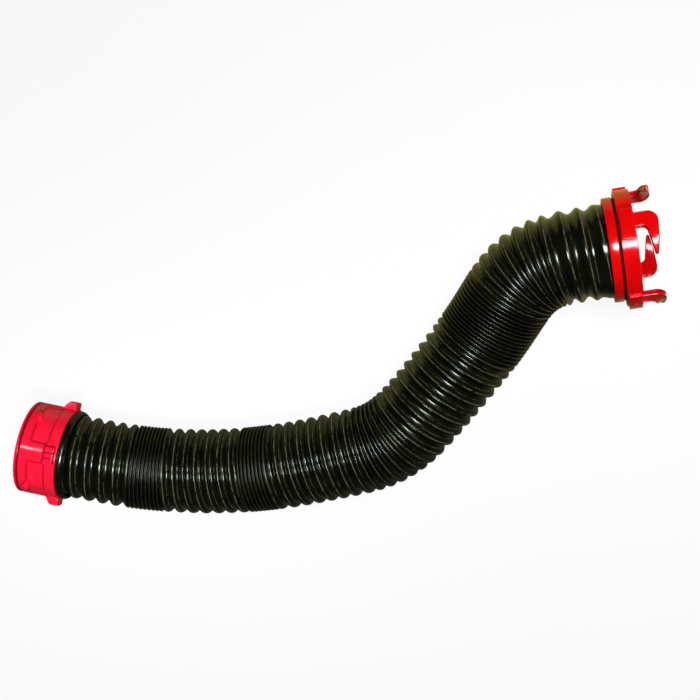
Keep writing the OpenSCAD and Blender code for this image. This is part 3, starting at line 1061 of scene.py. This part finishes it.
@dataclass
class Fitting:
    """What both fittings have: a passage, a snap ring's seat and their own axes.

    Lengths are in millimetres. Wall sizes such as passage, bore, journal or
    ring are radii, and places along the axis are depths behind the mating
    face or, on the bayonet fitting, behind the ring's front.
    """

    passage: float = 35.0
    slack: float = 0.05  # round a ring in its groove, on each side
    clip_seat: float = 1.25  # depth of the snap ring's groove
    clip_t: float = 1.2  # thickness of the snap ring
    clip_depth: float = 12.7
    axes: FittingFrame = field(init=False)
    quarters: Array = field(init=False)  # angles of its four tabs or hooks

    @staticmethod
    def groove(top: float, floor: float, start: float, end: float) -> list[Triple]:
        """Corners of a square groove: radii of top and floor, and its two depths."""
        return [(top, start, 0.1), (floor, start, 0.1), (floor, end, 0.1), (top, end, 0.1)]

    def clip_groove(self, top: float) -> list[Triple]:
        """Corners of the snap ring's groove in a journal of that radius."""
        start = self.clip_depth - self.slack
        end = self.clip_depth + self.clip_t + self.slack
        return self.groove(top, top - self.clip_seat, start, end)

    def spun(self, profile: Array, columns: int = 192) -> Array:
        """Rings of a closed profile of radius and depth, spun about the axis.

        Args:
            profile: Radius and depth of each point.
            columns: Number of rings.

        Returns:
            Rings for Shell.loft, to be joined.
        """
        angle = np.linspace(0, 2 * np.pi, columns, endpoint=False)[:, None]
        return self.axes.polar(profile[:, 0], angle, profile[:, 1])

    def spun_piece(self, name: str, profile: Array, painted_shade: Array | float = 0.0) -> Piece:
        """A piece that is a closed profile spun about the axis.

        Args:
            name: The object's name.
            profile: Radius and depth of each point.
            painted_shade: Shade painted on the profile's points.

        Returns:
            The object.
        """
        shell = Shell()
        shell.loft(self.spun(profile), joined=True, painted_shade=painted_shade)
        return shell.piece(name)


@dataclass
class LugFitting(Fitting):
    """The fitting at the lug end: adapter, swivelling barrel, and the hose's cuff."""

    # the adapter
    journal: float = 41.3
    spigot: float = 37.95
    lip: float = 3.0
    lip_gap: float = 0.8
    seat: float = 16.0
    spigot_end: float = 36.0
    seal_d: float = 1.8
    seal_depth: float = 7.3
    # the barrel
    bore: float = 41.38
    bearing_end: float = 12.4
    skirt: float = 42.3
    barrel: float = 45.3
    length: float = 41.5
    turn: float = 15.0  # of the tabs from upright, in degrees
    recess_depth: float = 1.6
    recess_front: float = 12.8
    recess_length: float = 18.5
    recess_corner: float = 3.0
    bridge_width: float = 18.0  # between two recesses
    tab_height: float = 7.0
    tab_width: float = 16.6
    tab_length: float = 13.5
    tab_rear: float = 40.5
    groove_depth: float = 1.0  # of the grooves in a tab's top
    post_d: float = 6.8
    post_height: float = 6.0
    post_setback: float = 14.2
    # the cuff
    cuff: float = 44.4
    cuff_gap: float = 0.5
    cuff_length: float = 6.5

    def __post_init__(self) -> None:
        """Places the fitting's axes."""
        self.axes = FittingFrame.looking((-0.306, -0.0906, 0.052426), (-5.0, 1.0))
        self.quarters = np.radians(self.turn + 90.0 * np.arange(4))

    def adapter_piece(self) -> Piece:
        """The adapter: a closed profile with lip, seal groove and spigot, spun."""
        floor = self.bore - 0.04 - self.seal_d - self.slack
        half = self.seal_d / 2 + self.slack
        profile = spread_profile(
            [
                (self.passage, 0, 0.8),
                (self.barrel, 0, 0.6),
                (self.barrel, self.lip, 0.6),
                (self.journal, self.lip, 0.15),
                *self.groove(self.journal, floor, self.seal_depth - half, self.seal_depth + half),
                *self.clip_groove(self.journal),
                (self.journal, self.seat, 0.3),
                (self.spigot, self.seat, 0.2),
                (self.spigot, self.spigot_end, 0.8),
                (self.passage, self.spigot_end, 0.8),
            ]
        )
        on_lip = profile[:, 0] > self.journal
        # painted shade on the back of the lip, in the gap in front of the barrel
        painted_shade = PAINTED_SHADE * on_lip * smooth((profile[:, 1] - self.lip + 0.9) / 0.5)
        return self.spun_piece("lug_adapter_shell", profile, painted_shade)

    def _inside(self, across: Array, depth: Array) -> Array:
        """How far a place of the barrel lies inside a recess's outline.

        Args:
            across: Distance sideways from the recess's middle.
            depth: Distance behind the mating face.

        Returns:
            The distance inside a rectangle with round corners.
        """
        x = np.abs(across) - self.barrel * np.sin(np.radians(self.limit)) + self.recess_corner
        y = np.abs(depth - self.recess_front - self.recess_length / 2)
        y = y - self.recess_length / 2 + self.recess_corner
        outside = np.hypot(np.maximum(x, 0), np.maximum(y, 0))
        return self.recess_corner - outside - np.minimum(np.maximum(x, y), 0)

    @property
    def limit(self) -> float:
        """Angle in degrees from a recess's middle to its edge."""
        return 45.0 - float(np.degrees(np.arcsin(self.bridge_width / 2 / self.barrel)))

    def barrel_piece(self) -> Piece:
        """The barrel: a spun wall with four recesses, posts and grip tabs.

        The wall is a grid of angle and profile. Where the profile is on the
        outer skin, the recess's depth is taken off its radius. Rows and
        columns crowd together where a recess's edge bends. Shade is painted
        along the recesses' edges, on the front edge by the lip and in the
        tabs' grooves.

        Returns:
            The object.
        """
        front, edge = self.lip + self.lip_gap, 0.7
        beside = np.array([-0.5, 0.0, 0.3, 0.6, 0.9, 1.2, 1.6])
        rows = (
            [front, front + 0.12, front + 0.35],
            np.linspace(front + edge, self.length - edge, 34),
            self.recess_front + beside,
            self.recess_front + self.recess_length - beside,
            [self.length - 0.35, self.length - 0.12, self.length],
        )
        depth = np.unique(np.concatenate(rows).round(3))
        from_end = np.minimum(np.minimum(depth - front, self.length - depth), edge)
        skin = self.barrel - edge + np.sqrt(np.maximum(edge**2 - (edge - from_end) ** 2, 0))
        inner = [
            (self.skirt + 0.3, self.length),
            (self.skirt, self.length - 0.3),
            (self.skirt, self.bearing_end + 0.1),
            (self.skirt, self.bearing_end),
            (self.bore, self.bearing_end),
            (self.bore, self.bearing_end - 0.1),
            (self.bore, front + 0.2),
            (self.bore + 0.2, front),
        ]
        profile = np.concatenate([np.stack([skin, depth], axis=-1), inner])
        on_skin = np.arange(len(profile)) < len(depth)
        off_limit = np.array([-0.6, 0.0, 0.4, 0.8, 1.2, 1.6, 2.1])
        columns = (np.arange(-45.0, 45.0, 1.25), self.limit - off_limit, off_limit - self.limit)
        quarter = np.unique(np.concatenate(columns).round(3))
        degrees = (quarter + np.array([[45.0], [135.0], [225.0], [315.0]])).ravel()
        local = np.radians((degrees % 90.0) - 45.0)[:, None]
        inside = self._inside(profile[:, 0] * np.sin(local), profile[:, 1])
        radius = profile[:, 0] - on_skin * self.recess_depth * smooth(inside / 1.5)
        # painted shade along the edges of the recesses, and on the front edge in the gap behind
        # the lip
        recess_shade = 0.55 * smooth(1 - np.abs(inside - 0.6) / 2.0)
        lip_shade = PAINTED_SHADE * smooth((front + 1.1 - profile[:, 1]) / 0.6)
        rings = self.axes.polar(radius, np.radians(degrees + self.turn)[:, None], profile[:, 1])
        shell = Shell()
        shell.loft(rings, joined=True, painted_shade=on_skin * np.maximum(recess_shade, lip_shade))
        for angle in self.quarters:
            shell.loft(self._post(self.axes.turned(angle + np.pi / 4)), joined=False)
            rings, painted_shade = self._tab(self.axes.turned(angle))
            shell.loft(rings, joined=False, painted_shade=painted_shade)
        return shell.piece("lug_barrel_shell", 50.0, weighed=True)

    def _post(self, own: FittingFrame) -> Array:
        """Rings of a round post: circles outwards along x, the last ones drawn in."""
        foot = self.barrel - self.recess_depth - 0.5
        tip = self.barrel + self.post_height
        half, edge = self.post_d / 2, 0.8
        t = np.linspace(0, np.pi / 2, 5)
        height = np.concatenate([[foot, foot + 1.0, tip - 2.5], tip - edge + edge * np.sin(t)])
        radius = np.concatenate([[half] * 3, half - edge * (1 - np.cos(t))])[:, None]
        angle = np.linspace(0, 2 * np.pi, 40, endpoint=False)
        along = radius * np.sin(angle) - self.post_setback
        return own.world(height[:, None], radius * np.cos(angle), along)

    def _tab(self, own: FittingFrame) -> tuple[Array, Array]:
        """Rings of a grip tab: its side view, carried across its width.

        The side view has a sloped front, a flat top and an upright back, all
        with round corners. It is drawn in at both ends of the width, and its
        top is lowered in two grooves.

        Args:
            own: The fitting's axes, turned to the tab.

        Returns:
            Rings for Shell.loft, and the shade painted into the grooves of its top.
        """
        tip, foot = self.barrel + self.tab_height, self.barrel - 1.0
        rear, front = self.tab_rear, self.tab_rear - self.tab_length
        corners = [(foot, front - 0.6), (tip, front + 5.0), (tip, rear), (foot, rear)]
        view = rounded(corners, [0.3, 1.6, 0.9, 0.3], 7)
        half, edge = self.tab_width / 2, 0.8
        t = np.linspace(0, np.pi / 2, 5)[::-1]
        from_groove = [0.75, 0.45, 0.2, -0.2, -0.45, -0.75]
        across = [half - edge + edge * np.sin(t), half / 3 + np.array(from_groove), [0.0]]
        across = both_sides(np.concatenate(across), -1.0)[:, None]
        inset = both_sides(np.concatenate([edge * (1 - np.cos(t)), np.zeros(7)]))
        lowered = both_sides(np.array([0, 0, 0, 0, 0, 0, 0.85, 1, 1, 0.85, 0, 0]))[:, None]
        shrunk = drawn_in(view, inset)
        high = smooth((shrunk[..., 0] - (tip - 2.2)) / 1.6)
        curved = np.sqrt(np.maximum(shrunk[..., 0] ** 2 - across**2, 0.0))
        height = np.where(shrunk[..., 0] > self.barrel + 1, curved, shrunk[..., 0] - 0.6)
        rings = own.world(height - self.groove_depth * lowered * high, across, -shrunk[..., 1])
        # painted shade in the two grooves of the tab's top
        return rings, PAINTED_SHADE * lowered * high

    def cuff_piece(self) -> Piece:
        """The hose's smooth cuff behind the barrel: a rounded profile, spun."""
        front, bore = self.length + self.cuff_gap, self.journal + 0.3
        rear = front + self.cuff_length
        corners = [
            (bore, front, 0.1),
            (self.cuff, front, 0.9),
            (self.cuff, (front + rear) / 2, 1.2),
            ((self.cuff + bore) / 2 + 0.5, rear - 1.1, 1.0),
            (bore + 0.5, rear, 0.2),
            (bore, rear, 0.1),
        ]
        return self.spun_piece("hose_cuff", spread_profile(corners, 6))

    def build(self, red: Finish, vinyl: Finish, steel: Finish, rubber: Finish) -> None:
        """Builds and dresses the fitting.

        Args:
            red: Finish of adapter and barrel.
            vinyl: Finish of the cuff.
            steel: Finish of the retaining ring.
            rubber: Finish of the O-ring.
        """
        dress(self.adapter_piece(), red, "lug_end_adapter")
        dress(self.barrel_piece(), red, "lug_barrel", Body.LUG_SWIVEL)
        dress(self.cuff_piece(), vinyl, "lug_hose_cuff")
        dress(frame["nodes"]["lug_retaining_ring"], steel)
        dress(frame["nodes"]["lug_o_ring"], rubber)


@dataclass
class BayonetFitting(Fitting):
    """The fitting at the bayonet end: adapter with its collar, and hooked ring."""

    clip_depth: float = 9.5
    # the adapter
    neck: float = 44.5
    socket_depth: float = 9.0
    collar: float = 47.2
    collar_bore: float = 43.3
    collar_front: float = 16.0
    collar_rear: float = 24.4
    seat: float = 18.0
    spigot: float = 39.92
    spigot_end: float = 28.0
    # the ring
    socket: float = 46.0
    relief: float = 1.0  # depth of the socket's wall behind the gasket's front
    gasket_front: float = 7.0
    web: float = 44.58
    web_front: float = 11.0
    ring: float = 52.3
    ring_length: float = 14.0
    turn: float = 33.0  # of the hooks from upright, in degrees
    pad_height: float = 3.1
    pad_length: float = 11.8
    pad_angle: float = 31.0
    pad_lead: float = 1.0  # of a pad past its hook, in degrees
    mark_radius: float = 2.8
    mark_line: float = 0.3
    mark_offset: float = 2.0
    hook_reach: float = 20.0
    hook_t: float = 5.6
    hook_width: float = 19.0
    finger_length: float = 27.5
    slot_width: float = 9.4

    def __post_init__(self) -> None:
        """Places the fitting's axes."""
        place = (0.285, 0.1036, 0.054485)
        self.axes = FittingFrame.looking(place, (15.0, 2.0), np.radians(3.0))
        self.quarters = np.radians(90.0 * np.arange(4) - self.turn)

    def adapter_piece(self) -> Piece:
        """The adapter: a closed profile with neck, collar and spigot, spun."""
        corners = [
            (self.passage, self.socket_depth, 0.6),
            (self.neck, self.socket_depth, 0.15),
            *self.clip_groove(self.neck),
            (self.neck, self.collar_front, 0.2),
            (self.collar, self.collar_front, 0.6),
            (self.collar, self.collar_rear, 0.7),
            (self.collar_bore, self.collar_rear, 0.4),
            (self.collar_bore, self.seat, 0.2),
            (self.spigot, self.seat, 0.2),
            (self.spigot, self.spigot_end, 0.8),
            (self.passage, self.spigot_end, 0.8),
        ]
        return self.spun_piece("bayonet_adapter_shell", spread_profile(corners))

    def ring_piece(self) -> Piece:
        """The ring: a spun profile with four raised pads and four hooks."""
        relief = self.socket + self.relief
        corners = [
            (self.socket, 0, 0.5),
            (self.ring, 0, 0.7),
            (self.ring, self.ring_length, 0.7),
            (self.web, self.ring_length, 0.3),
            (self.web, self.web_front, 0.1),
            (relief, self.web_front, 0.1),
            (relief, self.gasket_front, 0.1),
            (self.socket, self.gasket_front, 0.1),
        ]
        shell = Shell()
        shell.loft(self.spun(spread_profile(corners, 5), 256), joined=True)
        for angle in self.quarters:
            own = self.axes.turned(angle)
            on_pad = own.turned(np.radians(self.pad_lead))
            shell.loft(self._pad(on_pad), joined=False)
            shell.loft(self._mark(on_pad), joined=True)
            rings, painted_shade = self._hook(own)
            shell.loft(rings, joined=False, painted_shade=painted_shade)
        return shell.piece("bayonet_ring_shell", 50.0, weighed=True)

    def _pad(self, own: FittingFrame) -> Array:
        """Rings of a pad: a rounded rectangle of radius and depth, carried round.

        Both ends are drawn in along a quarter circle.

        Args:
            own: The fitting's axes, turned to the pad's middle.

        Returns:
            Rings for Shell.loft.
        """
        foot, top, edge = self.ring - 1.0, self.ring + self.pad_height, 0.8
        front = (self.ring_length - self.pad_length) / 2
        rear = front + self.pad_length
        corners = [(foot, front), (top, front), (top, rear), (foot, rear)]
        view = rounded(corners, [0.2, edge, edge, 0.2], 6)
        t = np.linspace(0, np.pi / 2, 6)[::-1]
        half = np.radians(self.pad_angle / 2)
        angle = [half - edge * (1 - np.sin(t)) / self.ring, np.linspace(half * 0.93, 0, 10)]
        inset = both_sides(np.concatenate([edge * (1 - np.cos(t)), np.zeros(10)]))
        shrunk = drawn_in(view, inset)
        angle = both_sides(np.concatenate(angle), -1.0)[:, None]
        return own.polar(shrunk[..., 0], angle, shrunk[..., 1])

    def _mark(self, own: FittingFrame) -> Array:
        """Rings of the fine raised circle on a pad: a small circle carried round.

        Args:
            own: The fitting's axes, turned to the pad's middle.

        Returns:
            Rings for Shell.loft.
        """
        around = np.linspace(0, 2 * np.pi, 48, endpoint=False)[:, None]
        section = np.linspace(0, 2 * np.pi, 8, endpoint=False)
        reach = self.mark_radius + self.mark_line * np.cos(section)
        across = reach * np.cos(around) + self.mark_offset
        top = np.sqrt((self.ring + self.pad_height) ** 2 - across**2)
        depth = self.ring_length / 2 + reach * np.sin(around)
        return own.world(top + self.mark_line * np.sin(section), across, -depth)

    def _rails(self) -> tuple[Array, Array]:
        """The two edges of a hook as seen from outside.

        The outer one rises along the stem, rounds the shoulder and runs down
        to the tip. The inner one rounds the slot's end and follows the
        finger. Both end in the tip's foremost point.

        Returns:
            Outer and inner edge, as sideways distance and reach, each with
            the same number of points.
        """

        def straight(a: Sequence[float], b: Sequence[float], many: int) -> Array:
            """Points from a up to, but without, b."""
            t = np.linspace(0, 1, many, endpoint=False)[:, None]
            return (1 - t) * np.asarray(a, float) + t * np.asarray(b, float)

        def arc(centre: Sequence[float], radius: float, span: Pair, many: int) -> Array:
            """Points of an arc over a span of degrees, without the last."""
            angle = np.radians(np.linspace(*span, many, endpoint=False))
            return np.asarray(centre) + radius * np.column_stack([np.cos(angle), np.sin(angle)])

        stem, top, shoulder = -self.hook_width / 2, self.hook_reach, 10.0
        slot_x, slot_r, tip_r = 9.5, self.slot_width / 2, 1.7
        slot_y, slot_side = slot_r + 0.5, slot_x - slot_r
        tip = np.array([self.finger_length - tip_r, top - 5.0])
        crown, brow = (15.0, top - 1.0), tip + [tip_r / 2, tip_r]
        foremost = [tip + [tip_r, -0.4]]
        outer = (
            straight((stem, -1.0), (stem, top - shoulder), 5),
            arc((stem + shoulder, top - shoulder), shoulder, (180.0, 90.0), 16),
            straight((stem + shoulder, top), crown, 8),
            straight(crown, brow, 8),
            arc(tip, tip_r * 1.1, (62.0, -10.0), 8),
            foremost,
        )
        inner = (
            straight((slot_side, -1.0), (slot_side, slot_y), 5),
            arc((slot_x, slot_y), slot_r, (180.0, 90.0), 16),
            straight((slot_x, slot_y + slot_r), tip - [0.0, tip_r], 16),
            arc(tip, tip_r, (-90.0, -20.0), 8),
            foremost,
        )
        return np.concatenate(outer), np.concatenate(inner)

    def _hook(self, own: FittingFrame) -> tuple[Array, Array]:
        """Rings of a hook: a rounded section carried between two rails.

        Each section runs from the inner to the outer rail and from the inner
        to the outer radius, with its four corners rounded. A sideways
        distance w at radius r stands at height root of r squared less w
        squared, so the hook curves with the ring.

        Args:
            own: The fitting's axes, turned to the hook.

        Returns:
            Rings for Shell.loft, and the shade painted on the hook's inner side.
        """
        outer, inner = self._rails()
        high = self.ring + 1.0
        low = high - self.hook_t
        width = np.maximum(np.linalg.norm(outer - inner, axis=1), 0.02)[:, None]
        cut = np.minimum(0.9, width * 0.45)
        quarter = np.linspace(0, np.pi / 2, 5)
        bend = 1 - np.stack([np.sin(quarter), np.cos(quarter)])
        corners = []
        for far_w, far_r in ((False, False), (False, True), (True, True), (True, False)):
            off_w, off_r = (bend[:, ::-1] if far_w == far_r else bend)[:, None] * cut
            w = width - off_w if far_w else off_w
            corners.append(np.stack([w, high - off_r if far_r else low + off_r], axis=-1))
        section = np.concatenate(corners, axis=1)
        share = (section[..., 0] / width)[..., None]
        place = inner[:, None] + share * (outer - inner)[:, None]
        across, reach = place[..., 0], place[..., 1]
        height = np.sqrt(np.maximum(section[..., 1] ** 2 - across**2, 0.0))
        # painted shade on the inner side of the hook, towards its low radius
        painted_shade = PAINTED_SHADE * smooth((low + 1.2 - section[..., 1]) / 0.6)
        return own.world(height, across, reach), painted_shade

    def build(self, red: Finish, steel: Finish, rubber: Finish) -> list[Piece]:
        """Builds and dresses the fitting.

        Args:
            red: Finish of adapter and ring.
            steel: Finish of the retaining ring.
            rubber: Finish of O-ring and gasket.

        Returns:
            Its pieces.
        """
        nodes, swivel = frame["nodes"], Body.BAYONET_SWIVEL
        return [
            dress(self.adapter_piece(), red, "bayonet_end_adapter"),
            dress(self.ring_piece(), red, "bayonet_ring", swivel),
            dress(nodes["bayonet_retaining_ring"], steel),
            dress(nodes["bayonet_o_ring"], rubber),
            dress(nodes["bayonet_gasket"], rubber),
        ]


# ---------------------------------------------------------------- studio


@dataclass(frozen=True)
class Lamp:
    """A rectangular lamp whose height lies along y where it can.

    Attributes:
        name: Its name.
        place: Where it hangs, in metres.
        aim: The point that it faces.
        size: Its width and height.
        power: Its power in watts.
        spread: Angle in degrees of its beam.
    """

    name: str
    place: Triple
    aim: Triple
    size: Pair
    power: float
    spread: float

    def build(self) -> None:
        """Hangs the lamp."""
        data = bpy.data.lights.new(self.name, "AREA")
        data.shape = "RECTANGLE"
        data.size, data.size_y = self.size
        data.energy = self.power
        data.spread = float(np.radians(self.spread))
        back = (Vector(self.place) - Vector(self.aim)).normalized()
        across = Vector((0.0, 1.0, 0.0)).cross(back).normalized()
        hang(self.name, data, self.place, (across, back.cross(across), back))


LAMPS = (
    Lamp("left_lamp", (0.2, -0.1, 1.4), (-0.26, -0.11, 0.05), (0.5, 0.3), 0.62, 24.0),
    Lamp("right_lamp", (0.55, 0.5, 1.4), (0.25, 0.06, 0.05), (0.7, 0.34), 1.55, 34.0),
    Lamp("glint_lamp", (-0.7, 0.387, 1.46), (-0.32, -0.088, 0.09), (0.05, 0.14), 0.002, 5.0),
)


@dataclass(frozen=True)
class Studio:
    """Pale floor, white backdrop, two soft lamps and a small one for the lug fitting.

    Attributes:
        floor_size: Side of the floor in metres.
        paper: Colour of the floor where the camera sees its shading.
        near_mat: Colour in which the floor throws light back before the object.
        far_mat: The same behind the object.
        end_mat: The same behind the object's two ends.
        shade: How much of the object's shadow the camera sees on the floor.
        mirrored: How far glossy surfaces show the white backdrop.
        dim: Strength of the surround as a light.
    """

    floor_size: float = 12.0
    paper: Triple = (0.86, 0.86, 0.86)
    near_mat: Triple = (0.05, 0.05, 0.035)
    far_mat: Triple = (0.56, 0.54, 0.14)
    end_mat: Triple = (0.7, 0.42, 0.32)
    shade: float = 0.08
    mirrored: float = 0.02
    dim: float = 0.035

    def floor(self) -> None:
        """Lays the floor: white to the camera, with a share of the real shading near by."""
        half = self.floor_size / 2
        corners = np.array([(-1, -1), (1, -1), (1, 1), (-1, 1)]) * half
        points = np.column_stack([corners, np.full(4, -0.2 * MM)])
        made = from_corners("studio_floor", points, np.arange(4), np.array([4]), 30.0)
        bench = Bench.material("studio_white")
        seen = bench.backdrop(self.mirrored)
        along, behind = (
            bench.node("ShaderNodeSeparateXYZ", inputs={0: bench.place()}, output=axis)
            for axis in (0, 1)
        )
        by_end = abs(along).band(0.26, 0.3) * behind.band(-0.06, 0.04)
        mat = bench.blend(behind.band(-0.15, 0.25), self.near_mat, self.far_mat)
        mat = bench.blend(by_end, mat, self.end_mat)
        colour = bench.blend(seen, mat, self.paper)
        paper = bench.node("ShaderNodeBsdfDiffuse", inputs={0: colour})
        white = bench.node("ShaderNodeEmission", inputs={0: (1.0, 1.0, 1.0), 1: 1.0})
        far_off = (along * along + behind * behind).band(0.6, 2.0)
        share = seen * (far_off * self.shade + (1.0 - self.shade))
        mixed = bench.node("ShaderNodeMixShader", inputs={0: share, 1: paper, 2: white})
        bench.node("ShaderNodeOutputMaterial", inputs={0: mixed})
        made.data.materials.append(bench.owner)

    def world(self) -> None:
        """A pale grey surround, white where the camera sees it."""
        bpy.context.scene.world = bpy.data.worlds.new("studio_surround")
        bench = Bench(bpy.context.scene.world)
        strength = self.dim + bench.backdrop(self.mirrored) * (1.0 - self.dim)
        sky = bench.node("ShaderNodeBackground", inputs={0: (1.0, 1.0, 1.0), 1: strength})
        bench.node("ShaderNodeOutputWorld", inputs={0: sky})

    def build(self) -> None:
        """Builds floor, surround and lamps, and sets the plain view transform."""
        self.floor()
        self.world()
        for lamp in LAMPS:
            lamp.build()
        bpy.context.scene.view_settings.view_transform = "Standard"


def main() -> None:
    """Builds camera, hose, fittings and studio in order."""
    logging.basicConfig(level=logging.INFO, format="%(name)s: %(message)s")
    StudioCamera().build()
    steel, rubber = DRAWN_STEEL.build(), SEAL_RUBBER.build()
    hose = CorrugatedHose()
    wall, wire = hose.build(CorrugatedVinyl().build(), steel)
    LugFitting().build(LUG_RED.build(), SMOOTH_VINYL.build(), steel, rubber)
    far_pieces = BayonetFitting().build(BAYONET_RED.build(), steel, rubber)
    Studio().build()


if __name__ == "__main__":
    main()
